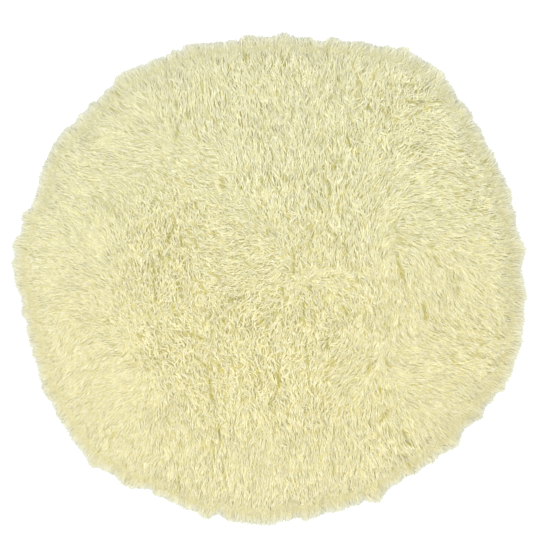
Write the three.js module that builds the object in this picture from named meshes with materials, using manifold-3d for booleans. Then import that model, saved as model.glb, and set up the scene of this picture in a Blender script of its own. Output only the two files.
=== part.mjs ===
// A round flokati rug lying flat: a long wool pile in soft tufts, with its outermost locks lying on the
// floor around the rim. Millimetres, +Z up, the underside on z = 0 and the middle of the rug at the origin.
import * as THREE from "three";
import { mergeGeometries, mergeVertices } from "three/addons/utils/BufferGeometryUtils.js";
import Module from "manifold-3d";

const wasm = await Module();
wasm.setup();

// How far the pile reaches from the middle of the rug. Bearings are in degrees, anticlockwise from +X.
const OUTLINE = [
  { bearing: 0, reach: 750 },
  { bearing: 15, reach: 753 },
  { bearing: 30, reach: 757 },
  { bearing: 45, reach: 785 },
  { bearing: 60, reach: 783 },
  { bearing: 75, reach: 734 },
  { bearing: 90, reach: 719 },
  { bearing: 105, reach: 724 },
  { bearing: 120, reach: 731 },
  { bearing: 135, reach: 735 },
  { bearing: 150, reach: 741 },
  { bearing: 165, reach: 742 },
  { bearing: 180, reach: 748 },
  { bearing: 195, reach: 729 },
  { bearing: 210, reach: 739 },
  { bearing: 225, reach: 754 },
  { bearing: 240, reach: 729 },
  { bearing: 255, reach: 724 },
  { bearing: 270, reach: 721 },
  { bearing: 285, reach: 715 },
  { bearing: 300, reach: 724 },
  { bearing: 315, reach: 736 },
  { bearing: 330, reach: 758 },
  { bearing: 345, reach: 765 },
];

// The lumpy body of the pile.
const BODY_SETBACK = 27; // from the tips of the rim locks in to the edge of the body
const BODY_SIDES = 6;
const BODY_RINGS = 23; // rings of faces from the middle to the edge
const EDGE_CROWDING = 0.5; // how much closer the rings stand near the edge, 0 to 1
const SHOULDER_WIDTH = 85; // over which the pile rounds down to the floor
const SHOULDER_FULLNESS = 2.3; // 2 is a quarter ellipse, and more is squarer
const TUFT_PITCH = 72;
const TUFT_STRAY = 25; // how far a tuft may stand from its place in the row
const TUFT_TOP = { low: 43, high: 54 };
const TUFT_DROP = 34; // from a tuft's top down to a point one pitch away
const HOLLOW_FLOOR = 33; // the pile is at least this high between tufts

// The locks around the rim, in two tiers: one lies on the floor and one falls over it. The heights are
// those of a lock's flat underside at its root, halfway and at its tip.
const FLOOR_TIER = {
  count: 120,
  rootInside: 12, // how far inside the body's edge a lock is rooted
  heights: [3, 0, 0],
  shortfall: { low: 0, high: 20 }, // how far the tips stop short of the outline
  width: { low: 27, high: 34 },
  thickness: { low: 9, high: 13 },
  sway: 11, // degrees to either side
  steps: 3, // cross-sections along a lock
};
const UPPER_TIER = {
  count: 80,
  rootInside: 58,
  heights: [20, 30, 19],
  shortfall: { low: 8, high: 27 },
  width: { low: 28, high: 38 },
  thickness: { low: 10, high: 13 },
  sway: 8,
  steps: 4,
};
const LOCK_FULLNESS = 3; // how long a lock keeps its width before it narrows: 1 is a straight cone
const LOCK_STRAY = 0.12; // how far a lock may stand from its place, as a share of the space between two
const LONG_LOCKS = 1.4; // more of the tips reach the outline as this grows

const WOOL = { color: 0xe6e0b0, roughness: 0.95, metalness: 0 };

const SECTOR = (2 * Math.PI) / BODY_SIDES;
const DRAWS = 8; // random numbers kept for each tuft or lock

// A repeatable random number from 0 to 1, for one draw of one tuft or lock.
function chance(index, draw) {
  return THREE.MathUtils.seededRandom(index * DRAWS + draw);
}

function between(range, share) {
  return range.low + (range.high - range.low) * share;
}

// A repeatable random number from -most to most.
function stray(most, index, draw) {
  return most * (2 * chance(index, draw) - 1);
}

const outlineCurve = new THREE.CatmullRomCurve3(
  OUTLINE.map(({ bearing, reach }) => {
    const angle = THREE.MathUtils.degToRad(bearing);
    return new THREE.Vector3(reach * Math.cos(angle), reach * Math.sin(angle), 0);
  }),
  true,
);

// The point of the outline at a share of the way round, drawn in towards the middle by an inset.
function outlinePoint(share, inset) {
  const point = outlineCurve.getPoint(share - Math.floor(share));
  return point.setLength(point.length() - inset);
}

// The tufts stand in rows, each strayed a little from its place.
function makeTufts() {
  const rowPitch = TUFT_PITCH * Math.sin(Math.PI / 3);
  const reach = Math.max(...OUTLINE.map((row) => row.reach));
  const rows = Math.ceil(reach / rowPitch);
  const columns = Math.ceil(reach / TUFT_PITCH);
  const tufts = [];
  for (let row = -rows; row <= rows; row++) {
    for (let column = -columns; column <= columns; column++) {
      const index = tufts.length;
      tufts.push({
        x: (column + (row % 2) / 2) * TUFT_PITCH + stray(TUFT_STRAY, index, 0),
        y: row * rowPitch + stray(TUFT_STRAY, index, 1),
        top: between(TUFT_TOP, chance(index, 2)),
      });
    }
  }
  return tufts;
}

const tufts = makeTufts();

// The height of the pile away from its rim: every tuft is a low mound, and the highest mound counts.
function pileHeight(x, y) {
  let height = HOLLOW_FLOOR;
  for (const tuft of tufts) {
    const pitches = Math.hypot(x - tuft.x, y - tuft.y) / TUFT_PITCH;
    height = Math.max(height, tuft.top - TUFT_DROP * pitches ** 2);
  }
  return height;
}

// How full the pile is at a distance inside the body's edge, from 0 at the edge to 1 past the shoulder.
function shoulder(inside) {
  const short = 1 - Math.min(1, Math.max(0, inside / SHOULDER_WIDTH));
  return (1 - short ** SHOULDER_FULLNESS) ** (1 / SHOULDER_FULLNESS);
}

// The edge of the body at a share of the way round.
function edgePoint(share) {
  return outlinePoint(share, BODY_SETBACK);
}

// A finely divided six-sided pyramid gives rings of even faces, which become the top of the pile.
function makeTop() {
  const corners = [0, 0, 1];
  const faces = [];
  for (let side = 0; side < BODY_SIDES; side++) {
    const angle = side * SECTOR;
    corners.push(Math.cos(angle), Math.sin(angle), 0);
    faces.push(0, 1 + side, 1 + ((side + 1) % BODY_SIDES));
  }
  const geometry = new THREE.PolyhedronGeometry(corners, faces, 1, BODY_RINGS - 1);
  const positions = geometry.getAttribute("position");
  const corner = new THREE.Vector3();
  for (let i = 0; i < positions.count; i++) {
    corner.fromBufferAttribute(positions, i);
    const { ring, turn } = placeOnPyramid(corner);
    const out = ring / BODY_RINGS;
    const spread = (1 - EDGE_CROWDING) * out + EDGE_CROWDING * Math.sin((out * Math.PI) / 2);
    const point = edgePoint(turn);
    const inside = point.length() * (1 - spread);
    point.multiplyScalar(spread);
    point.z = pileHeight(point.x, point.y) * shoulder(inside);
    positions.setXYZ(i, ...point);
  }
  return geometry;
}

// Which ring of the divided pyramid a point of the unit sphere came from, and at what share of the way round.
function placeOnPyramid({ x, y, z }) {
  const away = Math.hypot(x, y);
  const angle = (Math.atan2(y, x) + 2 * Math.PI) % (2 * Math.PI);
  const side = Math.min(BODY_SIDES - 1, Math.floor(angle / SECTOR));
  const offMiddle = angle - (side + 0.5) * SECTOR;
  const sideReach = Math.cos(SECTOR / 2) / Math.cos(offMiddle);
  const ring = Math.round((BODY_RINGS * away) / (away + Math.max(0, z) * sideReach));
  const alongSide = 0.5 + Math.tan(offMiddle) / (2 * Math.tan(SECTOR / 2));
  const step = side * ring + Math.round(ring * alongSide);
  return { ring, turn: ring > 0 ? step / (ring * BODY_SIDES) : 0 };
}

function makeUnderside() {
  const points = BODY_SIDES * BODY_RINGS;
  const geometry = new THREE.CircleGeometry(1, points);
  const positions = geometry.getAttribute("position");
  for (let i = 1; i < positions.count; i++) positions.setXYZ(i, ...edgePoint((i - 1) / points));
  const { array } = geometry.index;
  for (let i = 0; i < array.length; i += 3) [array[i], array[i + 1]] = [array[i + 1], array[i]];
  return geometry.toNonIndexed();
}

function makeBody() {
  return mergeGeometries([makeTop(), makeUnderside()]);
}

// A curve through a tier's three heights: straight down to the floor, or over in an arch.
function undersideHeight({ heights, steps }, along) {
  const [root, halfway, tip] = heights;
  if (halfway === tip) return tip + (root - tip) * Math.max(0, 1 - along * steps);
  const arch = 4 * (halfway - (root + tip) / 2);
  return root + (tip - root) * along + arch * along * (1 - along);
}

// A lock of wool is a three-sided cone with its flat side down, laid along its way out from the root.
function makeLock(tier, index, firstDraw) {
  const draw = (number) => chance(index, firstDraw + number);
  const share = (index + LOCK_STRAY * (2 * draw(0) - 1)) / tier.count;
  const root = outlinePoint(share, BODY_SETBACK + tier.rootInside);
  const tip = outlinePoint(share, between(tier.shortfall, draw(1) ** LONG_LOCKS));
  const length = tip.distanceTo(root);
  const bearing = Math.atan2(tip.y - root.y, tip.x - root.x);
  const sway = THREE.MathUtils.degToRad(tier.sway * (2 * draw(2) - 1));
  const width = between(tier.width, draw(3));
  const thickness = between(tier.thickness, draw(4));
  const geometry = new THREE.ConeGeometry(1, 1, 3, tier.steps);
  const positions = geometry.getAttribute("position");
  for (let i = 0; i < positions.count; i++) {
    const along = positions.getY(i) + 0.5;
    const coneRadius = 1 - along;
    const fullness = along < 1 ? (1 - along ** LOCK_FULLNESS) / coneRadius : 0;
    const across = (positions.getX(i) * fullness * width) / Math.sqrt(3);
    const aboveFlat = ((positions.getZ(i) + coneRadius / 2) * fullness * thickness) / 1.5;
    const heading = bearing + sway * along;
    positions.setXYZ(
      i,
      root.x + Math.cos(heading) * length * along + Math.sin(heading) * across,
      root.y + Math.sin(heading) * length * along - Math.cos(heading) * across,
      undersideHeight(tier, along) + aboveFlat,
    );
  }
  return geometry;
}

function toSolid(geometry) {
  geometry.deleteAttribute("normal");
  geometry.deleteAttribute("uv");
  const merged = mergeVertices(geometry, 1e-3);
  const vertProperties = merged.getAttribute("position").array;
  const triVerts = new Uint32Array(merged.index.array);
  return new wasm.Manifold(new wasm.Mesh({ numProp: 3, vertProperties, triVerts }));
}

// The finished rug stands on z = 0 with the middle of its box over the origin.
function toGeometry(solid) {
  const { vertProperties, triVerts } = solid.getMesh();
  const geometry = new THREE.BufferGeometry();
  geometry.setAttribute("position", new THREE.BufferAttribute(vertProperties, 3));
  geometry.setIndex(new THREE.BufferAttribute(triVerts, 1));
  geometry.computeBoundingBox();
  const { min, max } = geometry.boundingBox;
  geometry.translate(-(min.x + max.x) / 2, -(min.y + max.y) / 2, 0);
  geometry.computeVertexNormals();
  return geometry;
}

function makeRug() {
  let solid = toSolid(makeBody());
  const tiers = [
    { tier: FLOOR_TIER, firstDraw: 10 * DRAWS },
    { tier: UPPER_TIER, firstDraw: 500 * DRAWS },
  ];
  for (const { tier, firstDraw } of tiers) {
    for (let index = 0; index < tier.count; index++) {
      solid = solid.add(toSolid(makeLock(tier, index, firstDraw)));
    }
  }
  return toGeometry(solid);
}

const rug = new THREE.Group();
const pile = new THREE.Mesh(makeRug(), new THREE.MeshStandardMaterial(WOOL));
pile.name = "flokati_rug";
rug.add(pile);

export default rug;
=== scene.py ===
import math

import bmesh
import bpy
import numpy as np
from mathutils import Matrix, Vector, noise
from mathutils.bvhtree import BVHTree
from mathutils.kdtree import KDTree


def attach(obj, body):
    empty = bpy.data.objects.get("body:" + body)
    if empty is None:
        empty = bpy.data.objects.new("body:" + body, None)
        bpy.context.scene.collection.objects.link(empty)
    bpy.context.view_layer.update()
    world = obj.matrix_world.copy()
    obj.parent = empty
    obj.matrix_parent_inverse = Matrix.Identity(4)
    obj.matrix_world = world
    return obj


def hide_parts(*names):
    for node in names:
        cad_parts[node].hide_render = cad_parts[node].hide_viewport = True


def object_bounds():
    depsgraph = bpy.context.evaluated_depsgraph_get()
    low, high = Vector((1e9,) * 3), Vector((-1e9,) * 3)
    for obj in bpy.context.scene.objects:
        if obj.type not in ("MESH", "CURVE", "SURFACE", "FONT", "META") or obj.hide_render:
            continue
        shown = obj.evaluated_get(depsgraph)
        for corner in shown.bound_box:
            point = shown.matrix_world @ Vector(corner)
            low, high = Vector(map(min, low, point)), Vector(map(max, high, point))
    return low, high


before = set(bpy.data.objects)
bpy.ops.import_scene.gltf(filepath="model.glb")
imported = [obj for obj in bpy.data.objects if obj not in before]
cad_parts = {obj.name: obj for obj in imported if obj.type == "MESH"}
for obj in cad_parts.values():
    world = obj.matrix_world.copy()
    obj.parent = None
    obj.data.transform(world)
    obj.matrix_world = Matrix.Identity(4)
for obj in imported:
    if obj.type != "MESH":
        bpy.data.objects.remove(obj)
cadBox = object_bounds()
rugName = "flokati_rug"
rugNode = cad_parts[rugName]
fullTurn = 2 * math.pi
tiny = 1e-9  # keeps a division from being by nought


def smoothStep(low, high, value):
    share = np.clip((value - low) / (high - low), 0, 1)
    return share * share * (3 - 2 * share)


def between(pair, share):
    return pair[0] + (pair[1] - pair[0]) * share


# The camera looks straight down, from a little right of and behind the middle of the rug
view = {
    "frameWidth": 1.605,  # how much the picture takes in from side to side
    "atHeight": 0.012,  # and at which height over the floor
    "middle": (0.0204, 0.0102),  # the point of the floor under the camera
    "lens": 85,
    "sensor": 36,
}


def makeCamera():
    data = bpy.data.cameras.new("topCamera")
    data.lens = view["lens"]
    data.sensor_width = view["sensor"]
    camera = bpy.data.objects.new("topCamera", data)
    away = view["frameWidth"] * view["lens"] / view["sensor"]
    camera.location = (*view["middle"], away + view["atHeight"])
    bpy.context.scene.collection.objects.link(camera)
    bpy.context.scene.camera = camera


makeCamera()
print("camera: done")


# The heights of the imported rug, on a square grid
survey = {
    "step": 0.006,
    "margin": 0.03,  # of the grid round the rug
    "above": 1,  # the rug is sounded from this height
    "blur": 2,  # passes over the heights
    "merge": 1e-6,
}


def readNode(node):
    shape = bmesh.new()
    shape.from_mesh(node.data)
    bmesh.ops.remove_doubles(shape, verts=shape.verts, dist=survey["merge"])
    tree = BVHTree.FromBMesh(shape)
    shape.free()
    return tree


def evenOut(heights):
    for axis in (0, 1):
        heights = (np.roll(heights, 1, axis) + 2 * heights + np.roll(heights, -1, axis)) / 4
    return heights


def measureHeights(tree):
    half = max(abs(c) for corner in cadBox for c in corner[:2]) + survey["margin"]
    count = int(2 * half / survey["step"]) + 1
    heights = np.zeros((count, count))
    down = Vector((0, 0, -1))
    for row in range(count):
        for column in range(count):
            x = column * survey["step"] - half
            y = row * survey["step"] - half
            hit = tree.ray_cast(Vector((x, y, survey["above"])), down)[0]
            if hit:
                heights[row, column] = hit.z
    for _ in range(survey["blur"]):
        heights = evenOut(heights)
    lowest = heights
    for axis in (0, 1):
        lowest = np.minimum(lowest, np.minimum(np.roll(lowest, 1, axis), np.roll(lowest, -1, axis)))
    return heights, evenOut(lowest), half


heightGrid, lowGrid, gridHalf = measureHeights(readNode(rugNode))


def heightAt(x, y, grid=heightGrid):
    last = len(grid) - 1.001  # just short of the far side of the grid
    column = np.clip((x + gridHalf) / survey["step"], 0, last)
    row = np.clip((y + gridHalf) / survey["step"], 0, last)
    left = column.astype(int)
    front = row.astype(int)
    acrossShare = column - left
    backShare = row - front
    near = between((grid[front, left], grid[front, left + 1]), acrossShare)
    far = between((grid[front + 1, left], grid[front + 1, left + 1]), acrossShare)
    return between((near, far), backShare)


print("survey of the rug: done")


# The rim, read from the photograph: at each bearing in degrees, anticlockwise from +X, the metres from
# the middle to the last of the wool
rimReach = [
    (0, 0.743), (3, 0.741), (6.5, 0.758), (9.5, 0.744), (12.5, 0.739), (14.5, 0.748), (16.5, 0.740),
    (19.5, 0.755), (21.5, 0.747), (27, 0.750), (30.5, 0.747), (33, 0.753), (35.5, 0.759),
    (37.5, 0.752), (38.5, 0.763), (41, 0.766), (43.5, 0.761), (46, 0.773), (48, 0.776),
    (49.5, 0.790), (52, 0.786), (54, 0.785), (57.5, 0.776), (59.3, 0.790), (61, 0.767),
    (62.5, 0.766), (64, 0.754), (67, 0.746), (70, 0.735), (72, 0.727), (75.5, 0.727), (76.2, 0.706),
    (78, 0.711), (80.5, 0.713), (83, 0.706), (86.3, 0.718), (88, 0.707), (90.5, 0.703),
    (92.5, 0.709), (96, 0.713), (97, 0.700), (99.5, 0.699), (102, 0.706), (104, 0.707),
    (107.5, 0.719), (109.5, 0.719), (111, 0.711), (112.5, 0.720), (115, 0.713), (117.5, 0.721),
    (120, 0.720), (122, 0.727), (125.5, 0.735), (127.5, 0.735), (129, 0.721), (131, 0.725),
    (134, 0.718), (135.3, 0.731), (137, 0.722), (139, 0.728), (141, 0.724), (143.5, 0.737),
    (147, 0.737), (150, 0.734), (156, 0.732), (157.5, 0.721), (161, 0.717), (163.5, 0.721),
    (165.3, 0.742), (167, 0.735), (170, 0.737), (172.5, 0.754), (174.5, 0.741), (176.5, 0.747),
    (179, 0.741), (182, 0.732), (185, 0.719), (188.5, 0.727), (190, 0.713), (192, 0.718),
    (195, 0.719), (201.5, 0.722), (204, 0.727), (206, 0.737), (209, 0.731), (212.5, 0.732),
    (216, 0.734), (219, 0.737), (224, 0.742), (226.5, 0.754), (228, 0.745), (230, 0.736),
    (232.5, 0.729), (235.3, 0.736), (237, 0.728), (239, 0.715), (241, 0.704), (242.5, 0.715),
    (245, 0.707), (250, 0.713), (252, 0.710), (255.5, 0.724), (258, 0.702), (260.5, 0.718),
    (263, 0.715), (265, 0.718), (268, 0.715), (270, 0.719), (272, 0.714), (275, 0.711),
    (277, 0.703), (278.5, 0.716), (281, 0.711), (284, 0.703), (286.5, 0.711), (288.5, 0.711),
    (290, 0.703), (292, 0.711), (293.5, 0.705), (294.5, 0.718), (296.5, 0.728), (298.5, 0.714),
    (300.5, 0.703), (303, 0.707), (305, 0.701), (307, 0.714), (309, 0.708), (310.5, 0.714),
    (312, 0.724), (314, 0.720), (316, 0.723), (318.5, 0.738), (320.5, 0.729), (322.5, 0.717),
    (324.5, 0.729), (327, 0.745), (329, 0.738), (331, 0.744), (333.5, 0.749), (334.5, 0.765),
    (336.5, 0.759), (340, 0.763), (343, 0.761), (346.5, 0.765), (349, 0.758), (354, 0.752),
    (356.5, 0.755),
]
rim = {
    "bearings": 720,
    "even": 6,  # degrees over which the base and the bed even the rim out
    "proud": 0.0105,  # how far the thin ends of the tips go on, past what shows of them
    "seed": 3,
    "teeth": 240,  # small tufts round the rim, that end further out or in
    "toothDepth": 0.0032,
    "toothStray": 0.35,
}


def makeRim():
    bearing, reach = np.array(rimReach).T
    fine = np.arange(rim["bearings"]) * 360 / rim["bearings"]
    sharp = np.interp(fine, bearing, reach, period=360) + rim["proud"]
    dice = np.random.default_rng(rim["seed"])
    count = rim["teeth"]
    places = np.arange(count) + dice.uniform(-rim["toothStray"], rim["toothStray"], count)
    depths = dice.uniform(-1, 1, count) * rim["toothDepth"]
    sharp += np.interp(fine, places * 360 / count, depths, period=360)
    off = (fine + 180) % 360 - 180
    weight = np.exp(-((off / rim["even"]) ** 2) / 2)
    spectrum = np.fft.rfft(sharp) * np.fft.rfft(weight / weight.sum())
    return sharp, np.fft.irfft(spectrum, rim["bearings"])


sharpRim, evenRim = makeRim()


def reachAt(x, y, table=evenRim):
    place = np.arctan2(y, x) / fullTurn % 1 * rim["bearings"]
    low = np.floor(place).astype(int)
    count = rim["bearings"]
    return between((table[low % count], table[(low + 1) % count]), place - low)


# How far a point is inside the rim
def insideBy(x, y, table=evenRim):
    return reachAt(x, y, table) - np.hypot(x, y)


print("rim: done")


# How the pile is combed, read from the photograph: a place, the bearing its locks point along in degrees
# (anticlockwise from +X), how ruffled they are, and how deep the pile looks, from 0 to 1
combing = [
    # x, y, bearing, ruffle, relief
    (-0.257, 0.638, 108, 0.3, 0.6), (0.035, 0.638, 96, 0.45, 0.9), (0.27, 0.62, 84, 0.4, 0.8),
    (0.42, 0.63, 80, 0.4, 0.9), (-0.47, 0.53, 138, 0.3, 0.45), (-0.24, 0.49, 86, 0.4, 0.75),
    (-0.06, 0.52, 112, 0.4, 0.85), (0.15, 0.46, 86, 0.45, 0.8), (0.30, 0.45, 115, 0.7, 0.9),
    (0.42, 0.49, 40, 0.9, 0.85), (0.50, 0.42, 4, 0.5, 0.85), (-0.56, 0.46, 150, 0.25, 0.3),
    (-0.46, 0.42, 172, 0.3, 0.45), (-0.24, 0.35, 171, 0.5, 0.5), (-0.46, 0.30, 178, 0.25, 0.4),
    (-0.64, 0.29, 145, 0.25, 0.45), (-0.46, 0.19, 112, 0.6, 0.5), (-0.02, 0.33, 100, 0.4, 1),
    (0.15, 0.27, 95, 0.5, 1), (0.33, 0.31, 68, 0.5, 0.9), (0.47, 0.27, 10, 0.4, 0.6),
    (0.62, 0.35, 325, 0.35, 1), (0.63, 0.21, 5, 0.4, 0.75), (-0.70, 0.07, 174, 0.15, 0.25),
    (-0.55, 0.07, 154, 0.15, 0.2), (-0.325, 0.19, 75, 0.9, 0.9), (-0.315, 0.015, 90, 0.95, 0.85),
    (-0.15, 0.13, 170, 0.6, 0.6), (-0.04, 0.0, 205, 0.8, 0.8), (0.11, 0.11, 96, 0.7, 0.75),
    (0.27, 0.09, 108, 0.35, 0.85), (0.48, 0.13, 338, 0.35, 0.7), (0.68, 0.11, 0, 0.4, 0.4),
    (0.50, -0.02, 285, 0.35, 0.55), (0.19, -0.04, 320, 0.7, 0.95), (0.69, -0.04, 330, 0.3, 0.55),
    (0.33, -0.09, 270, 0.6, 0.45), (-0.66, -0.06, 182, 0.2, 0.05), (-0.45, -0.09, 132, 0.6, 0.45),
    (-0.58, -0.20, 242, 0.2, 0.2), (-0.16, -0.20, 290, 0.95, 0.85), (-0.325, -0.19, 318, 0.8, 0.95),
    (0.11, -0.19, 256, 0.75, 1), (0.035, -0.28, 276, 0.9, 1), (0.20, -0.30, 200, 0.4, 0.65),
    (0.46, -0.30, 5, 0.3, 0.4), (0.63, -0.21, 330, 0.3, 0.8), (-0.46, -0.31, 184, 0.25, 0.05),
    (-0.20, -0.32, 292, 0.8, 0.75), (-0.49, -0.45, 244, 0.15, 0.25), (-0.315, -0.45, 268, 0.35, 0.45),
    (-0.14, -0.43, 271, 0.45, 0.7), (0.09, -0.39, 292, 0.5, 0.8), (0.33, -0.39, 268, 0.6, 0.75),
    (0.52, -0.38, 318, 0.15, 0.15), (0.415, -0.51, 304, 0.3, 0.75), (0.21, -0.55, 276, 0.35, 0.5),
    (-0.02, -0.59, 264, 0.3, 0.4), (-0.24, -0.60, 265, 0.3, 0.6), (-0.36, -0.55, 247, 0.3, 0.4),
]
comb = {
    "reach": 0.075,  # how far each of these places carries
    "rim": (0.015, 0.075),  # between these distances inside the rim the locks turn outwards
    "rimRuffle": 0.35,  # share of the ruffling that is left at the rim
}


def combAt(x, y):
    rows = np.array(combing)
    away = (x[:, None] - rows[:, 0]) ** 2 + (y[:, None] - rows[:, 1]) ** 2
    weight = np.exp(-away / (2 * comb["reach"] ** 2)) + tiny
    weight /= weight.sum(axis=1)[:, None]
    bearing = np.radians(rows[:, 2])
    alongX = weight @ np.cos(bearing)
    alongY = weight @ np.sin(bearing)
    combed = smoothStep(*comb["rim"], insideBy(x, y))
    off = np.maximum(tiny, np.hypot(x, y))
    alongX = between((x / off, alongX), combed)
    alongY = between((y / off, alongY), combed)
    ruffle = weight @ rows[:, 3] * between((comb["rimRuffle"], 1), combed)
    return np.arctan2(alongY, alongX), ruffle, weight @ rows[:, 4]


# The deepest partings between tufts, read from the photograph, in metres: where each starts and ends,
# and how deep it looks
partings = [
    # x, y, x, y, depth
    (-0.196, 0.57, -0.19, 0.544, 0.9), (-0.268, 0.518, -0.266, 0.489, 0.9),
    (-0.26, 0.442, -0.268, 0.401, 0.9), (-0.233, 0.483, -0.231, 0.46, 1),
    (-0.207, 0.43, -0.196, 0.395, 0.8), (-0.271, 0.153, -0.289, 0.115, 1),
    (-0.318, 0.08, -0.309, 0.057, 1), (-0.292, 0.071, -0.28, 0.057, 0.8),
    (-0.479, 0.223, -0.464, 0.203, 0.7), (-0.449, 0.209, -0.441, 0.182, 0.7),
    (-0.236, 0.217, -0.233, 0.197, 0.9), (-0.21, 0.22, -0.207, 0.203, 0.9),
    (-0.187, 0.322, -0.196, 0.308, 0.8), (-0.131, 0.287, -0.128, 0.255, 0.8),
    (-0.082, 0.276, -0.079, 0.255, 0.8), (-0.018, 0.29, -0.015, 0.267, 0.9),
    (-0.053, 0.322, -0.055, 0.299, 0.8), (-0.158, 0.136, -0.152, 0.118, 0.9),
    (-0.21, 0.115, -0.207, 0.089, 0.9), (-0.251, 0.124, -0.248, 0.089, 0.7),
    (-0.336, 0.054, -0.327, 0.016, 0.8), (-0.114, 0.614, -0.108, 0.603, 0.8),
    (-0.07, 0.658, -0.064, 0.626, 0.8), (-0.029, 0.416, -0.026, 0.366, 0.6),
    (-0.012, 0.118, 0.003, 0.147, 0.6), (-0.455, 0.544, -0.429, 0.53, 0.8),
    (-0.455, 0.492, -0.441, 0.486, 0.8), (-0.429, 0.509, -0.42, 0.498, 0.7),
    (0.035, 0.646, 0.052, 0.614, 0.8), (0.172, 0.684, 0.172, 0.643, 0.9),
    (0.257, 0.594, 0.26, 0.553, 0.6), (0.201, 0.588, 0.207, 0.568, 0.7),
    (0.14, 0.579, 0.143, 0.547, 0.6), (0.228, 0.41, 0.239, 0.381, 1), (0.19, 0.314, 0.201, 0.34, 0.8),
    (0.204, 0.357, 0.216, 0.334, 0.8), (0.26, 0.372, 0.263, 0.34, 0.8), (0.172, 0.282, 0.181, 0.241, 1),
    (0.201, 0.191, 0.204, 0.217, 0.8), (0.146, 0.217, 0.155, 0.197, 0.8),
    (0.041, 0.296, 0.058, 0.282, 0.9), (0.073, 0.086, 0.076, 0.016, 0.7),
    (0.117, 0.089, 0.131, 0.13, 0.6), (0.172, 0.144, 0.231, 0.086, 0.6),
    (0.359, 0.159, 0.391, 0.101, 0.8), (0.373, 0.074, 0.388, 0.001, 0.8),
    (0.47, 0.095, 0.479, 0.092, 1), (0.481, 0.066, 0.496, 0.034, 0.7),
    (0.391, 0.512, 0.514, 0.512, 0.6), (0.33, 0.492, 0.344, 0.468, 0.9),
    (0.289, 0.498, 0.301, 0.483, 0.8), (0.353, 0.562, 0.365, 0.562, 1),
    (0.397, 0.562, 0.42, 0.559, 0.9), (0.54, 0.261, 0.549, 0.235, 0.8),
    (0.587, 0.197, 0.598, 0.217, 0.9), (0.592, 0.296, 0.601, 0.293, 0.9),
    (0.645, 0.174, 0.657, 0.179, 0.8), (0.476, 0.223, 0.484, 0.203, 0.6),
    (0.49, 0.276, 0.502, 0.261, 0.6), (0.624, 0.34, 0.651, 0.314, 0.9),
    (0.032, 0.53, 0.038, 0.521, 0.9), (-0.263, -0.01, -0.248, -0.057, 1),
    (-0.277, -0.074, -0.268, -0.104, 1), (-0.333, -0.004, -0.324, -0.063, 0.8),
    (-0.347, -0.095, -0.341, -0.115, 0.7), (-0.236, -0.153, -0.187, -0.177, 0.8),
    (-0.374, -0.165, -0.365, -0.168, 1), (-0.21, -0.229, -0.166, -0.264, 0.7),
    (-0.143, -0.25, -0.14, -0.267, 0.9), (-0.169, -0.293, -0.161, -0.355, 1),
    (-0.196, -0.393, -0.187, -0.416, 0.9), (-0.143, -0.425, -0.137, -0.477, 1),
    (-0.163, -0.471, -0.155, -0.524, 0.7), (-0.026, -0.27, -0.023, -0.302, 0.8),
    (0.029, -0.285, 0.032, -0.317, 1), (0.023, -0.334, 0, -0.366, 0.7),
    (-0.026, -0.13, -0.012, -0.118, 1), (-0.134, -0.115, -0.123, -0.133, 0.8),
    (-0.114, -0.051, -0.105, -0.06, 1), (-0.263, -0.477, -0.254, -0.483, 0.8),
    (-0.26, -0.562, -0.257, -0.62, 0.6), (-0.128, -0.55, -0.123, -0.6, 0.5),
    (-0.458, -0.465, -0.438, -0.439, 0.5), (-0.292, -0.407, -0.286, -0.419, 0.7),
    (0.102, -0.069, 0.105, -0.127, 0.9), (0.219, -0.08, 0.233, -0.109, 1),
    (0.257, 0.004, 0.263, -0.007, 0.9), (0.277, -0.121, 0.286, -0.095, 0.7),
    (0.452, -0.069, 0.458, -0.121, 1), (0.385, 0.028, 0.403, -0.031, 0.8),
    (0.041, -0.025, 0.047, -0.051, 0.8), (0.009, -0.104, 0.035, -0.098, 0.7),
    (0.114, -0.025, 0.128, -0.039, 0.7), (0.172, -0.182, 0.172, -0.2, 0.8),
    (0.19, -0.226, 0.184, -0.25, 1), (0.163, -0.299, 0.178, -0.287, 0.9),
    (0.298, -0.226, 0.289, -0.27, 0.8), (0.344, -0.238, 0.347, -0.25, 1),
    (0.324, -0.308, 0.324, -0.328, 1), (0.35, -0.381, 0.327, -0.413, 1),
    (0.353, -0.433, 0.356, -0.451, 0.9), (0.391, -0.439, 0.409, -0.483, 0.9),
    (0.114, -0.226, 0.114, -0.247, 0.9), (0.534, -0.214, 0.537, -0.244, 0.8),
    (0.549, -0.025, 0.552, -0.042, 0.8), (0.616, -0.2, 0.624, -0.139, 0.6),
    (0.338, -0.127, 0.35, -0.15, 0.7), (0.187, -0.53, 0.193, -0.556, 0.8),
    (0.406, -0.535, 0.423, -0.562, 0.6), (0.554, -0.127, 0.552, -0.191, 0.4),
]
parting = {
    "width": 0.0035,  # half of it
    "sink": 0.0014,  # how far the locks sink in
    "shade": 0.4,  # painted shade: how much darker the wool in it is
    "tint": 0.65,  # and how much more saturated, as the tint of that painted shade
}


# How deep in a parting a point is, from 0 to 1
def partedAt(x, y):
    parted = np.zeros(x.shape)
    for startX, startY, endX, endY, deep in partings:
        aheadX = endX - startX
        aheadY = endY - startY
        share = ((x - startX) * aheadX + (y - startY) * aheadY) / (aheadX**2 + aheadY**2)
        share = np.clip(share, 0, 1)
        off = np.hypot(x - startX - aheadX * share, y - startY - aheadY * share)
        parted = np.maximum(parted, deep * np.exp(-((off / parting["width"]) ** 2)))
    return parted
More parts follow.
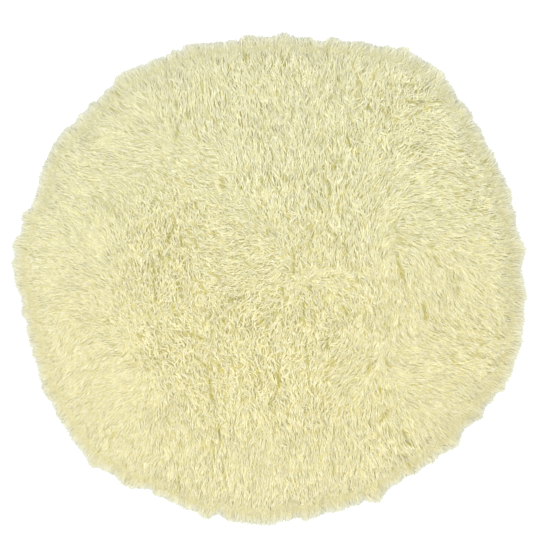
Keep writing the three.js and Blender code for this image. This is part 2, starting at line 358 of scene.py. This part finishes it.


# The wool: its colours run from the root of a lock to its tip, and on the bed from shallow to deep
# relief. The darker ochre of the roots and low parts of each lock is painted shade, for the shade deep
# in the pile and between the locks. The scales are those of the fibres on the map of the locks, along X,
# Y and Z, and on the felt.
wool = {
    # painted shade: the felted bed is darker than the locks, and darker still in deep relief, for the
    # shade under the pile
    "bed": (0.56, 0.52, 0.3),
    "deepShadedBed": (0.47, 0.42, 0.17),
    "root": (0.505, 0.445, 0.15),
    "low": (0.592, 0.541, 0.274),
    "body": (0.657, 0.625, 0.407),
    "tip": (0.673, 0.642, 0.438),
    # partly painted light: the pale rim colour also makes up for the shade at the foot of the pile
    "rim": (0.672, 0.708, 0.62),
    "roughness": 0.9,
    "bedRoughness": 0.95,
    "sheen": 0.1,
    "sheenRoughness": 0.5,
    "specular": 0.2,
    "streaks": (760, 210, 1),
    "streakDepth": 0.8,
    "felt": (420, 420, 420),
    "feltDepth": 1,
    "feltMottle": 0.4,
}
lockColours = [(0, wool["root"]), (0.3, wool["low"]), (0.6, wool["body"]), (1, wool["tip"])]
shadedBedColours = [(0.3, wool["bed"]), (0.8, wool["deepShadedBed"])]
weaveColours = [(0.2, wool["low"]), (0.9, wool["tip"])]


def makeNodes(name):
    material = bpy.data.materials.new(name)
    material.use_nodes = True
    nodes = material.node_tree.nodes
    shader = nodes["Principled BSDF"]
    return material, nodes, material.node_tree.links, shader


# Fine fibres, in colour and height, for the locks and the bed
fibre = {
    "detail": 3,
    "height": 0.001,
    "range": (0.3, 0.7),  # of the noise, that becomes the whole swing from dark to light
}


def makeFibreGroup():
    group = bpy.data.node_groups.new("woolFibres", "ShaderNodeTree")
    sockets = [
        ("Place", "INPUT", "NodeSocketVector"),
        ("Colour", "INPUT", "NodeSocketColor"),
        ("Depth", "INPUT", "NodeSocketFloat"),
        ("Mottle", "INPUT", "NodeSocketFloat"),
        ("Colour", "OUTPUT", "NodeSocketColor"),
        ("Normal", "OUTPUT", "NodeSocketVector"),
    ]
    for name, side, kind in sockets:
        group.interface.new_socket(name=name, in_out=side, socket_type=kind)
    nodes = group.nodes
    links = group.links
    given = nodes.new("NodeGroupInput")
    made = nodes.new("NodeGroupOutput")
    fibres = nodes.new("ShaderNodeTexNoise")
    fibres.inputs["Scale"].default_value = 1
    fibres.inputs["Detail"].default_value = fibre["detail"]
    links.new(given.outputs["Place"], fibres.inputs["Vector"])
    bump = nodes.new("ShaderNodeBump")
    bump.inputs["Distance"].default_value = fibre["height"]
    links.new(given.outputs["Depth"], bump.inputs["Strength"])
    links.new(fibres.outputs["Fac"], bump.inputs["Height"])
    links.new(bump.outputs["Normal"], made.inputs["Normal"])
    spread = nodes.new("ShaderNodeMapRange")
    spread.inputs["From Min"].default_value = fibre["range"][0]
    spread.inputs["From Max"].default_value = fibre["range"][1]
    spread.inputs["To Min"].default_value = -1
    links.new(fibres.outputs["Fac"], spread.inputs["Value"])
    swing = nodes.new("ShaderNodeMath")
    swing.operation = "MULTIPLY"
    links.new(spread.outputs["Result"], swing.inputs[0])
    links.new(given.outputs["Mottle"], swing.inputs[1])
    lift = nodes.new("ShaderNodeMath")
    lift.operation = "ADD"
    lift.inputs[1].default_value = 1
    links.new(swing.outputs["Value"], lift.inputs[0])
    tint = nodes.new("ShaderNodeHueSaturation")
    links.new(lift.outputs["Value"], tint.inputs["Value"])
    links.new(given.outputs["Colour"], tint.inputs["Color"])
    links.new(tint.outputs["Color"], made.inputs["Colour"])
    return group


fibreGroup = makeFibreGroup()


def addFibres(nodes, links, shader, coordinates, scale, depth):
    place = nodes.new("ShaderNodeTexCoord")
    spread = nodes.new("ShaderNodeMapping")
    spread.inputs["Scale"].default_value = scale
    links.new(place.outputs[coordinates], spread.inputs["Vector"])
    fibres = nodes.new("ShaderNodeGroup")
    fibres.node_tree = fibreGroup
    fibres.inputs["Depth"].default_value = depth
    links.new(spread.outputs["Vector"], fibres.inputs["Place"])
    links.new(fibres.outputs["Colour"], shader.inputs["Base Color"])
    links.new(fibres.outputs["Normal"], shader.inputs["Normal"])
    return fibres


def readAttribute(nodes, name):
    node = nodes.new("ShaderNodeAttribute")
    node.attribute_name = name
    return node.outputs["Fac"]


def addRamp(nodes, links, value, stops):
    ramp = nodes.new("ShaderNodeValToRGB")
    links.new(value, ramp.inputs["Fac"])
    elements = ramp.color_ramp.elements
    while len(elements) < len(stops):
        elements.new(0.5)  # it is moved to its own place below
    for element, (place, colour) in zip(elements, stops):
        element.position = place
        element.color = (*colour, 1)
    return ramp.outputs["Color"]


def makePileMaterial():
    material, nodes, links, shader = makeNodes("creamWool")
    shader.inputs["Roughness"].default_value = wool["roughness"]
    shader.inputs["Sheen Weight"].default_value = wool["sheen"]
    shader.inputs["Sheen Roughness"].default_value = wool["sheenRoughness"]
    shader.inputs["Specular IOR Level"].default_value = wool["specular"]
    colour = addRamp(nodes, links, readAttribute(nodes, "along"), lockColours)
    rimMix = nodes.new("ShaderNodeMix")
    rimMix.data_type = "RGBA"
    rimMix.inputs["B"].default_value = (*wool["rim"], 1)
    links.new(readAttribute(nodes, "rim"), rimMix.inputs["Factor"])
    links.new(colour, rimMix.inputs["A"])
    tone = nodes.new("ShaderNodeHueSaturation")
    # the tone and depth attributes carry the wool's own tone and saturation, with painted shade and
    # light laid over them
    links.new(readAttribute(nodes, "tone"), tone.inputs["Value"])
    links.new(readAttribute(nodes, "depth"), tone.inputs["Saturation"])
    links.new(readAttribute(nodes, "hue"), tone.inputs["Hue"])
    links.new(rimMix.outputs["Result"], tone.inputs["Color"])
    fibres = addFibres(nodes, links, shader, "UV", wool["streaks"], wool["streakDepth"])
    links.new(tone.outputs["Color"], fibres.inputs["Colour"])
    links.new(readAttribute(nodes, "mottle"), fibres.inputs["Mottle"])
    return material


def makeBedMaterial():
    material, nodes, links, shader = makeNodes("feltedWool")
    shader.inputs["Roughness"].default_value = wool["bedRoughness"]
    shader.inputs["Sheen Weight"].default_value = wool["sheen"]
    fibres = addFibres(nodes, links, shader, "Object", wool["felt"], wool["feltDepth"])
    fibres.inputs["Mottle"].default_value = wool["feltMottle"]
    # painted shade: the bed's colour darkens with the relief
    colour = addRamp(nodes, links, readAttribute(nodes, "relief"), shadedBedColours)
    links.new(colour, fibres.inputs["Colour"])
    return material


# Two sets of threads that cross
weave = {
    "threads": 55,
    "waviness": 0.6,
    "height": 0.0015,
    "roughness": 0.9,
}


def makeWeaveMaterial():
    material, nodes, links, shader = makeNodes("wovenWool")
    shader.inputs["Roughness"].default_value = weave["roughness"]
    place = nodes.new("ShaderNodeTexCoord")
    threads = []
    for turn in (0, math.pi / 2):
        mapping = nodes.new("ShaderNodeMapping")
        mapping.inputs["Rotation"].default_value = (0, 0, turn)
        wave = nodes.new("ShaderNodeTexWave")
        wave.bands_direction = "X"
        wave.inputs["Scale"].default_value = weave["threads"]
        wave.inputs["Distortion"].default_value = weave["waviness"]
        links.new(place.outputs["Object"], mapping.inputs["Vector"])
        links.new(mapping.outputs["Vector"], wave.inputs["Vector"])
        threads.append(wave.outputs["Fac"])
    cross = nodes.new("ShaderNodeMath")
    cross.operation = "MAXIMUM"
    links.new(threads[0], cross.inputs[0])
    links.new(threads[1], cross.inputs[1])
    bump = nodes.new("ShaderNodeBump")
    bump.inputs["Distance"].default_value = weave["height"]
    links.new(cross.outputs["Value"], bump.inputs["Height"])
    links.new(bump.outputs["Normal"], shader.inputs["Normal"])
    colour = addRamp(nodes, links, cross.outputs["Value"], weaveColours)
    links.new(colour, shader.inputs["Base Color"])
    return material


pileMaterial = makePileMaterial()
bedMaterial = makeBedMaterial()
weaveMaterial = makeWeaveMaterial()
print("materials: done")


def addPiece(mesh, material):
    mesh.polygons.foreach_set("use_smooth", [True] * len(mesh.polygons))
    mesh.materials.append(material)
    piece = bpy.data.objects.new(mesh.name, mesh)
    bpy.context.scene.collection.objects.link(piece)
    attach(piece, "root")
    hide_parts(rugName)
    return piece


# A sphere's faces come in another order on each run, so they are sorted by their three first corners
def sortFaces(shape):
    shape.verts.index_update()
    many = len(shape.verts)

    def place(face):
        first, second, third = sorted(corner.index for corner in face.verts)[:3]
        return (first * many + second) * many + third

    shape.faces.sort(key=place)


def finishShape(name, shape, material):
    bmesh.ops.recalc_face_normals(shape, faces=shape.faces)
    mesh = bpy.data.meshes.new(name)
    shape.to_mesh(mesh)
    shape.free()
    return addPiece(mesh, material)


# The woven base, hidden under the pile
base = {
    "segments": 160,
    "setback": 0.042,
    "thickness": 0.0025,
    "roundness": 0.0008,  # of its edges
    "roundSteps": 2,
}


def makeWovenBase():
    shape = bmesh.new()
    bmesh.ops.create_circle(shape, cap_ends=True, segments=base["segments"], radius=1)
    for corner in shape.verts:
        reach = float(reachAt(np.array(corner.co.x), np.array(corner.co.y)))
        corner.co *= reach - base["setback"]
    area = sum(face.calc_area() for face in shape.faces)
    lifted = bmesh.ops.extrude_face_region(shape, geom=shape.faces[:])
    top = [item for item in lifted["geom"] if isinstance(item, bmesh.types.BMVert)]
    bmesh.ops.translate(shape, verts=top, vec=(0, 0, base["thickness"]))
    bmesh.ops.bevel(
        shape,
        geom=[edge for edge in shape.edges if len({v.co.z > 0 for v in edge.verts}) == 1],
        offset=base["roundness"],
        segments=base["roundSteps"],
        profile=0.5,
        material=-1,
        affect="EDGES",
    )
    return finishShape("wovenBase", shape, weaveMaterial), area


# The felted bed that the locks grow from: half a ball, drawn out to the rim and to the pile's height
bed = {
    "turns": 180,
    "rings": 120,
    "cut": -0.001,  # the ball is kept above this
    "rimShare": 0.999,  # the last ring, from this share of the way out, lies flat
    "setback": 0.027,
    "edge": 0.018,  # over this depth it rises from the floor
    "floor": 0.002,
    "below": (0.0006, 0.0048),  # how far it is under the top of the pile, in shallow and in deep relief
    "sunk": 0.0022,  # and it never lies more than this below that, where the top slopes
    "lumps": 0.0006,
    "lumpSize": 0.016,
}


def makeWoolBed():
    shape = bmesh.new()
    bmesh.ops.create_uvsphere(shape, u_segments=bed["turns"], v_segments=bed["rings"], radius=1)
    lower = [corner for corner in shape.verts if corner.co.z < bed["cut"]]
    bmesh.ops.delete(shape, geom=lower, context="VERTS")
    bmesh.ops.edgeloop_fill(shape, edges=[edge for edge in shape.edges if edge.is_boundary])
    points = np.array([v.co[:] for v in shape.verts])
    away = np.hypot(points[:, 0], points[:, 1])
    out = 1 - np.arctan2(points[:, 2], away) / (math.pi / 2)
    turn = np.arctan2(points[:, 1], points[:, 0])
    x = np.cos(turn)
    y = np.sin(turn)
    reach = (reachAt(x, y) - bed["setback"]) * out
    x = x * reach
    y = y * reach
    relief = combAt(x, y)[2]
    heights = np.maximum(heightAt(x, y, lowGrid), heightAt(x, y) - bed["sunk"])
    heights -= between(bed["below"], relief) + bed["floor"]
    heights *= smoothStep(0, bed["edge"], insideBy(x, y) - bed["setback"])
    for corner, cx, cy, height, share in zip(shape.verts, x, y, heights, out):
        lump = noise.noise(Vector((cx, cy, 0)) / bed["lumpSize"]) * bed["lumps"]
        raised = max(0, height + lump) if share < bed["rimShare"] else 0
        corner.co = (cx, cy, bed["floor"] + raised)
    sortFaces(shape)
    piece = finishShape("woolBed", shape, bedMaterial)
    piece.data.attributes.new("relief", "FLOAT", "POINT").data.foreach_set("value", relief)
    return piece


wovenBase, baseArea = makeWovenBase()
woolBed = makeWoolBed()
print("base and bed: done", len(woolBed.data.polygons), "faces in the bed")


# Tufts: the locks of a tuft lean together and their tips draw in to one another
tuft = {
    "seed": 11,
    "pitch": 0.028,
    "stray": 0.38,  # how far it may stand from its place, as a share of the pitch
    "inside": 0.002,  # its middle is at least this far inside the rim
    "turn": (9, 52),  # degrees that it may be turned, in smooth and in ruffled pile
    "turnSpread": 0.6,
    "rise": (0.0002, 0.0011),  # metres that it may stand above or below the rest, by the relief
    "tone": (0.005, 0.013),  # how much darker or lighter it may be, by the relief
    "pull": (0.2, 0.48),  # how far the tips of its locks draw in to its middle, by the relief
    "pullSpread": (0.2, 1),
    "spread": 0.6,  # how far its locks stand from its middle, as a share of the pitch
}
gridReach = 0.85  # tufts and tips are spread this far from the middle of the rug


# The points of a grid of triangles, each strayed a little
def hexGrid(pitch, stray, dice):
    rowPitch = pitch * math.sqrt(3) / 2
    rows = int(gridReach / rowPitch)
    columns = int(gridReach / pitch)
    row, column = np.mgrid[-rows : rows + 1, -columns : columns + 1]
    x = (column + row % 2 / 2) * pitch
    y = row * rowPitch
    x = x.ravel() + dice.uniform(-stray, stray, x.size) * pitch
    y = y.ravel() + dice.uniform(-stray, stray, y.size) * pitch
    return x, y


def makeTufts():
    dice = np.random.default_rng(tuft["seed"])
    x, y = hexGrid(tuft["pitch"], tuft["stray"], dice)
    keep = insideBy(x, y) > tuft["inside"]
    x = x[keep]
    y = y[keep]
    count = len(x)
    bearing, ruffle, relief = combAt(x, y)
    turn = np.radians(between(tuft["turn"], ruffle)) * dice.normal(0, tuft["turnSpread"], count)
    return {
        "x": x,
        "y": y,
        "bearing": bearing + turn,
        "ruffle": ruffle,
        "relief": relief,
        "rise": dice.uniform(-1, 1, count) * between(tuft["rise"], relief),
        "tone": dice.normal(0, 1, count) * between(tuft["tone"], relief),
        "pull": dice.uniform(*tuft["pullSpread"], count) * between(tuft["pull"], relief),
    }


tufts = makeTufts()
print("tufts: done", len(tufts["x"]))


# A lock's square of the wool's map holds its three sides, as upright strips
lockMap = {
    "margin": 0.03,  # round the strips
    "width": 0.31,  # of a strip with its gap
    "height": 0.94,
    "gap": 0.03,  # on either side, as a share of that width
}


def lockCorner(co, strip, along):
    side = int(strip * 3)
    if 0 < along < 1:
        off = (math.atan2(co.y, co.x) / fullTurn - strip + 0.5) % 1 - 0.5
        side += 1 - lockMap["gap"] if off > 0 else lockMap["gap"]
    else:
        side += 0.5
    return lockMap["margin"] + lockMap["width"] * side, lockMap["margin"] + lockMap["height"] * along


# One lock of wool: a three-sided spindle, closed at its root and its tip, which is bent along each
# lock's path
def makeLockForm(rings):
    shape = bmesh.new()
    bmesh.ops.create_uvsphere(shape, u_segments=3, v_segments=rings - 1, radius=1)
    bmesh.ops.recalc_face_normals(shape, faces=shape.faces)
    sortFaces(shape)
    form = {"ring": [], "across": [], "up": [], "loops": [], "starts": [], "uv": []}
    for corner in shape.verts:
        ring = round((1 - math.acos(max(-1, min(1, corner.co.z))) / math.pi) * (rings - 1))
        away = math.hypot(corner.co.x, corner.co.y)
        isEnd = ring in (0, rings - 1)
        form["ring"].append(ring)
        form["across"].append(0 if isEnd else corner.co.x / away)
        form["up"].append(0 if isEnd else corner.co.y / away)
    for face in shape.faces:
        form["starts"].append(len(form["loops"]))
        middle = face.calc_center_median()
        strip = math.atan2(middle.y, middle.x) / fullTurn % 1
        for corner in face.verts:
            form["loops"].append(corner.index)
            along = form["ring"][corner.index] / (rings - 1)
            form["uv"].append(lockCorner(corner.co, strip, along))
    for key in form:
        form[key] = np.array(form[key])
    shape.free()
    return form


# The three long edges of a lock are sharp, so that each of its faces is evenly lit across
def markRidges(mesh, ring):
    ends = np.zeros(2 * len(mesh.edges), dtype=int)
    mesh.edges.foreach_get("vertices", ends)
    ends = ring[ends.reshape(-1, 2) % len(ring)]
    sharp = ends[:, 0] != ends[:, 1]
    mesh.attributes.new("sharp_edge", "BOOLEAN", "EDGE").data.foreach_set("value", sharp)


def buildLocks(name, form, centres, widths, thicknesses, rolls, attributes):
    count, rings = centres.shape[:2]
    ahead = np.gradient(centres, axis=1)
    ahead /= np.linalg.norm(ahead, axis=2, keepdims=True)
    up = np.zeros_like(ahead)
    up[..., 2] = 1
    side = np.cross(up, ahead)
    side /= np.maximum(tiny, np.linalg.norm(side, axis=2, keepdims=True))
    up = np.cross(ahead, side)
    turn = rolls[:, None]
    across = form["across"] * np.cos(turn) - form["up"] * np.sin(turn)
    above = form["across"] * np.sin(turn) + form["up"] * np.cos(turn)
    ring = form["ring"]
    points = (
        centres[:, ring]
        + side[:, ring] * (across * widths[:, ring])[..., None]
        + up[:, ring] * (above * thicknesses[:, ring])[..., None]
    )
    mesh = bpy.data.meshes.new(name)
    mesh.vertices.add(count * len(ring))
    mesh.vertices.foreach_set("co", points.ravel())
    loops = (form["loops"] + len(ring) * np.arange(count)[:, None]).ravel()
    starts = (form["starts"] + len(form["loops"]) * np.arange(count)[:, None]).ravel()
    mesh.loops.add(len(loops))
    mesh.loops.foreach_set("vertex_index", loops)
    mesh.polygons.add(len(starts))
    mesh.polygons.foreach_set("loop_start", starts)
    cells = math.ceil(math.sqrt(count))
    cell = np.stack([np.arange(count) % cells, np.arange(count) // cells], axis=1)
    uv = (cell[:, None, :] + form["uv"]) / cells
    mesh.uv_layers.new(name="OFBake").data.foreach_set("uv", uv.ravel())
    along = ring / (rings - 1) + pile["undersideShade"] * np.minimum(above, 0)
    mesh.attributes.new("along", "FLOAT", "POINT").data.foreach_set("value", along.ravel())
    for key, values in attributes.items():
        spread = values[:, ring].ravel()
        mesh.attributes.new(key, "FLOAT", "POINT").data.foreach_set("value", spread)
    mesh.update(calc_edges=True)
    markRidges(mesh, ring)
    return addPiece(mesh, pileMaterial)


# The pile: every lock is placed by its tip, and rooted where it leans from. Long locks make the smooth
# parts of the pile, short ones the ruffled parts, and thin ones fill the rim. A pair of values is for
# smooth and for ruffled pile, for shallow and for deep relief, for the front and for the back of the
# rug, or for least and most.
pile = {
    "stray": 0.5,  # how far a tip may stand from its place, as a share of the pitch
    "ruffled": (0.3, 0.8),  # ruffle over which short locks take the place of long ones
    "leanSpread": (0.7, 1.25),
    "leastLength": 0.0001,
    "rootSetback": 0.037,
    "rimRoots": 0.035,  # over this depth the locks of the rim are rooted
    "rootDepth": (0.003, 0.008),  # how far the roots are under the top of the pile
    "rimZone": (0.008, 0.06),  # between these distances inside the rim its own ways end
    "flatness": (0.3, 0.55),
    "roll": (0.2, 0.8),
    "rimRoll": 0.5,  # share of the roll that is left at the rim
    "rise": (0.0004, 0.002),  # how far a lock may stand above or below its tuft
    "riseSpread": (-1, 0.7),
    "rimRise": 0.5,  # share of the ups and downs that is left at the rim
    "doming": (0.0002, 0.0038),  # how much lower the locks at a tuft's edge lie
    "droop": (0.0005, 0.003),  # of the tips
    "under": 0.4,  # share of the locks that lie under the rest, straight along the comb
    "underRise": (-0.0012, -0.0038),
    "underReach": (0.5, 1),
    "underSpread": 1.5,  # how much wider these are
    "underShade": 0.15,  # how much darker these are in deep relief
    "low": (0.0015, 0.0024),  # no lock comes lower than this over the floor
    "wave": (0.003, 0.0065),  # how far the waves of the wool move the locks sideways
    "waveSize": 0.015,
    "waveLayers": (0.5, 5.5),  # where in the noise the waves' x and y are read
    "rimWave": 0.35,  # share of the waves that is left at the rim
    "rimSpread": 1.25,  # how much wider and flatter the locks at the rim are
    "tone": (0.01, 0.026),  # how much darker or lighter a lock may be
    "levelling": 20,  # painted shade and light: how much darker a lock is for each metre that it stands proud, and lighter for each that it lies low, to even out how the pile is lit
    "evening": (0.895, 1.045),  # makes up for the shade in deep relief
    "brightness": (1.01, 0.966),
    "saturation": (0.99, 0.845),
    "saturationSpread": 0.05,
    "hue": (0.499, 0.51),
    "tinted": (-0.35, 0.6),  # y from where and to where these go from front to back
    "paling": 1.1,  # how strongly a lighter lock is also a paler one
    "lowLockShadeTint": 16,  # painted shade: how much more saturated a lock is for each metre that it lies low, as wool in shade looks, and less for each that it stands proud
    "shoulderShade": 0.15,  # darkens the bright shoulder of the pile, which is as far inside the rim
    "shoulderOut": (-0.01, 0.012),  # as this
    "shoulderIn": (0.032, 0.095),  # to this
    "rimFade": 0.95,  # how much paler the ends of the fibres are at the rim, partly their own pale look, partly painted light against the shade at the foot of the pile
    "rimWidth": 0.02,
    "edgePaling": 0.07,  # how much less saturated the wool near the rim is
    "edgeWidth": (0.03, 0.14),
    "mottle": (0.2, 0.37),  # of the fibres in a lock
    "undersideShade": 0.25,  # the ochre of the roots comes this much further up a lock's underside
    "piece": 190000,  # most triangles in one piece
}
longLocks = {
    "name": "longPile",
    "seed": 5,
    "pitch": 0.0055,
    "depth": 1,  # how far inside the rim the tips may end
    "ruffled": False,
    "lean": (0.04, 0.035),
    "turn": (4, 11),  # degrees that one lock may be turned from its tuft
    "width": (0.0008, 0.0017),  # half of it
    "curl": (0.001, 0.002),
    "run": [0, 0.3, 0.66, 1],  # how far out each cross-section is
    "lift": [0, 0.95, 1, 1],  # how high it is
    "taper": [0, 1, 0.9, 0],
}
shortLocks = {
    "name": "shortPile",
    "seed": 8,
    "pitch": 0.006,
    "depth": 1,
    "ruffled": True,
    "lean": (0.034, 0.025),
    "turn": (7, 13),
    "width": (0.001, 0.002),
    "curl": (0.002, 0.0035),
    "run": [0, 0.28, 0.54, 0.79, 1],
    "lift": [0, 0.92, 1, 1, 1],
    "taper": [0, 1, 1, 0.8, 0],
}
rimLocks = {
    "name": "rimPile",
    "seed": 14,
    "pitch": 0.004,
    "depth": 0.022,
    "lean": (0.05, 0.04),
    "turn": (9, 16),
    "width": (0.0013, 0.0027),
    "curl": (0.002, 0.003),
    "run": [0, 0.35, 0.8, 1],
    "lift": [0, 1, 1, 1],
    "taper": [0, 1, 0.85, 0],
}


def nearestTufts(x, y):
    tree = KDTree(len(tufts["x"]))
    for index, (tx, ty) in enumerate(zip(tufts["x"], tufts["y"])):
        tree.insert((tx, ty, 0), index)
    tree.balance()
    return np.array([tree.find((px, py, 0))[1] for px, py in zip(x, y)])


# Tips spread evenly over the rug, thinned out where the other kind of lock grows
def scatterTips(kind, dice):
    x, y = hexGrid(kind["pitch"], pile["stray"], dice)
    inside = insideBy(x, y, sharpRim)
    keep = (inside > 0) & (inside < kind["depth"])
    x = x[keep]
    y = y[keep]
    bearing, ruffle = combAt(x, y)[:2]
    if "ruffled" in kind:
        share = smoothStep(*pile["ruffled"], ruffle)
        keep = (dice.uniform(0, 1, len(x)) < share) == kind["ruffled"]
        return x[keep], y[keep], bearing[keep]
    return x, y, bearing


# Roots are inside the edge of the base, however far the lock would lean
def placeRoots(x, y, dice):
    setback = pile["rootSetback"] + pile["rimRoots"] * dice.uniform(0, 1, len(x)) ** 2
    inward = np.clip(setback - insideBy(x, y), 0, 1) / np.hypot(x, y)
    return x * (1 - inward), y * (1 - inward)


# Waves that run through neighbouring locks together
def wavesAt(x, y):
    size = pile["waveSize"]
    return np.array([
        [noise.noise((px / size, py / size, layer)) for px, py in zip(x, y)]
        for layer in pile["waveLayers"]
    ])


# How light and how saturated the wool is along each lock, and how pale at the rim: its own random tone,
# with painted shade on locks under the rest, in partings and on the shoulder, painted shade and light by
# how proud a lock stands, and partly painted light at the rim
def tintAndShadeLocks(own, under, rise, back, centres, parted, dice):
    count = len(own)
    relief = tufts["relief"][own]
    tone = 1 + tufts["tone"][own] + dice.normal(0, 1, count) * between(pile["tone"], relief)
    depth = between(pile["saturation"], back) * tone ** -pile["paling"]
    depth += dice.normal(0, pile["saturationSpread"], count) - pile["lowLockShadeTint"] * rise
    tone *= between(pile["evening"], relief) * (1 - pile["levelling"] * rise)
    tone *= between(pile["brightness"], back) * (1 - pile["underShade"] * relief * under)
    inside = insideBy(centres[..., 0], centres[..., 1], sharpRim)
    shoulder = smoothStep(*pile["shoulderOut"], inside) * (1 - smoothStep(*pile["shoulderIn"], inside))
    edge = 1 - smoothStep(*pile["edgeWidth"], inside)
    even = np.ones(inside.shape)
    return {
        "tone": tone[:, None] * (1 - pile["shoulderShade"] * shoulder) * (1 - parting["shade"] * parted),
        "depth": depth[:, None] * (1 + parting["tint"] * parted) * (1 - pile["edgePaling"] * edge),
        "hue": between(pile["hue"], back)[:, None] * even,
        "mottle": between(pile["mottle"], relief)[:, None] * even,
        "rim": pile["rimFade"] * (1 - smoothStep(0, pile["rimWidth"], inside)),
    }


def layLocks(kind):
    dice = np.random.default_rng(kind["seed"])
    x, y, combed = scatterTips(kind, dice)
    count = len(x)
    own = nearestTufts(x, y)
    ruffle = tufts["ruffle"][own]
    relief = tufts["relief"][own]
    under = dice.uniform(0, 1, count) < pile["under"]
    bearing = np.where(under, combed, tufts["bearing"][own])
    bearing += np.radians(between(kind["turn"], ruffle)) * dice.normal(0, 1, count)
    lean = between(kind["lean"], ruffle) * dice.uniform(*pile["leanSpread"], count)
    rootX, rootY = placeRoots(x - np.cos(bearing) * lean, y - np.sin(bearing) * lean, dice)
    offX = x - tufts["x"][own]
    offY = y - tufts["y"][own]
    offTuft = np.clip(np.hypot(offX, offY) / (tuft["pitch"] * tuft["spread"]), 0, 1)
    inner = smoothStep(*pile["rimZone"], insideBy(x, y))
    pull = tufts["pull"][own] * inner * ~under
    alongX = x - offX * pull - rootX
    alongY = y - offY * pull - rootY
    length = np.maximum(pile["leastLength"], np.hypot(alongX, alongY))
    rise = between(pile["rise"], relief) * dice.uniform(*pile["riseSpread"], count) + tufts["rise"][own]
    rise -= between(pile["doming"], relief) * offTuft**2
    sunk = between(pile["underRise"], relief * dice.uniform(*pile["underReach"], count))
    rise = np.where(under, sunk, rise) * between((pile["rimRise"], 1), inner)
    droop = between(pile["droop"], dice.uniform(0, 1, count))
    curl = between(kind["curl"], ruffle) * dice.normal(0, 1, count)
    sway = dice.uniform(-1, 1, count)
    wave = between(pile["wave"], ruffle) * between((pile["rimWave"], 1), inner)
    half = between(kind["width"], dice.uniform(0, 1, count)) * np.where(under, pile["underSpread"], 1)
    low = between(pile["low"], dice.uniform(0, 1, count) ** 2)
    centres = np.zeros((count, len(kind["run"]), 3))
    parted = np.zeros(centres.shape[:2])
    rootHeight = heightAt(rootX, rootY) - between(pile["rootDepth"], relief)
    for ring, (run, lift) in enumerate(zip(kind["run"], kind["lift"])):
        bend = curl * (math.sin(math.pi * run) * sway + math.sin(fullTurn * run)) / length
        px = rootX + alongX * run - alongY * bend
        py = rootY + alongY * run + alongX * bend
        if run > 0:
            waves = wavesAt(px, py) * wave
            px = px + waves[0]
            py = py + waves[1]
        parted[:, ring] = partedAt(px, py)
        top = heightAt(px, py) + rise - droop * (run == 1) - parting["sink"] * parted[:, ring]
        pz = rootHeight * (1 - lift) + np.maximum(top, 0) * lift
        centres[:, ring] = np.stack([px, py, np.maximum(pz, low)], axis=1)
    back = smoothStep(*pile["tinted"], y)
    attributes = tintAndShadeLocks(own, under, rise, back, centres, parted, dice)
    spread = between((pile["rimSpread"], 1), inner)
    widths = (half * spread)[:, None] * np.array(kind["taper"])
    thick = widths * (between(pile["flatness"], relief) / spread)[:, None]
    roll = between(pile["roll"], relief) * between((pile["rimRoll"], 1), inner)
    return centres, widths, thick, dice.uniform(-1, 1, count) * roll, attributes


def makePile(kind):
    centres, widths, thick, rolls, attributes = layLocks(kind)
    form = makeLockForm(len(kind["run"]))
    perLock = len(form["loops"]) - 2 * len(form["starts"])
    parts = math.ceil(len(centres) * perLock / pile["piece"])
    order = np.argsort(np.arctan2(centres[:, -1, 1], centres[:, -1, 0]))
    made = []
    for part, mine in enumerate(np.array_split(order, parts), start=1):
        own = {key: values[mine] for key, values in attributes.items()}
        shapes = (centres[mine], widths[mine], thick[mine], rolls[mine])
        name = kind["name"] + str(part)
        made.append(buildLocks(name, form, *shapes, own))
        print(name, len(mine), "locks", len(mine) * perLock, "triangles")
    return made


pilePieces = makePile(longLocks) + makePile(shortLocks) + makePile(rimLocks)
print("pile: done")


# Plain floor and soft light
studio = {
    "floorColour": (0.96, 0.96, 0.96),
    "floorRoughness": 0.9,
    "floorSize": 20,
    "floorDrop": 0.0005,
    "worldStrength": 1.55,
    "keyPlace": (-5.1, -1.4, 8.7),
    "keySize": 5.1,
    "keyPower": 290,
}


def makeStudio():
    shape = bmesh.new()
    bmesh.ops.create_grid(shape, x_segments=1, y_segments=1, size=studio["floorSize"])
    bmesh.ops.translate(shape, verts=shape.verts, vec=(0, 0, -studio["floorDrop"]))
    mesh = bpy.data.meshes.new("studioFloor")
    shape.to_mesh(mesh)
    shape.free()
    material, nodes, links, shader = makeNodes("paleFloor")
    shader.inputs["Base Color"].default_value = (*studio["floorColour"], 1)
    shader.inputs["Roughness"].default_value = studio["floorRoughness"]
    mesh.materials.append(material)
    floor = bpy.data.objects.new("studioFloor", mesh)
    bpy.context.scene.collection.objects.link(floor)
    light = bpy.data.lights.new("keyLight", "AREA")
    light.size = studio["keySize"]
    light.energy = studio["keyPower"]
    lamp = bpy.data.objects.new("keyLight", light)
    lamp.location = studio["keyPlace"]
    lamp.rotation_euler = Vector(studio["keyPlace"]).to_track_quat("Z", "Y").to_euler()
    bpy.context.scene.collection.objects.link(lamp)
    world = bpy.data.worlds.new("studioWorld")
    world.use_nodes = True
    background = world.node_tree.nodes["Background"]
    background.inputs["Color"].default_value = (1, 1, 1, 1)
    background.inputs["Strength"].default_value = studio["worldStrength"]
    bpy.context.scene.world = world
    bpy.context.scene.view_settings.view_transform = "Standard"


makeStudio()
print("studio: done")
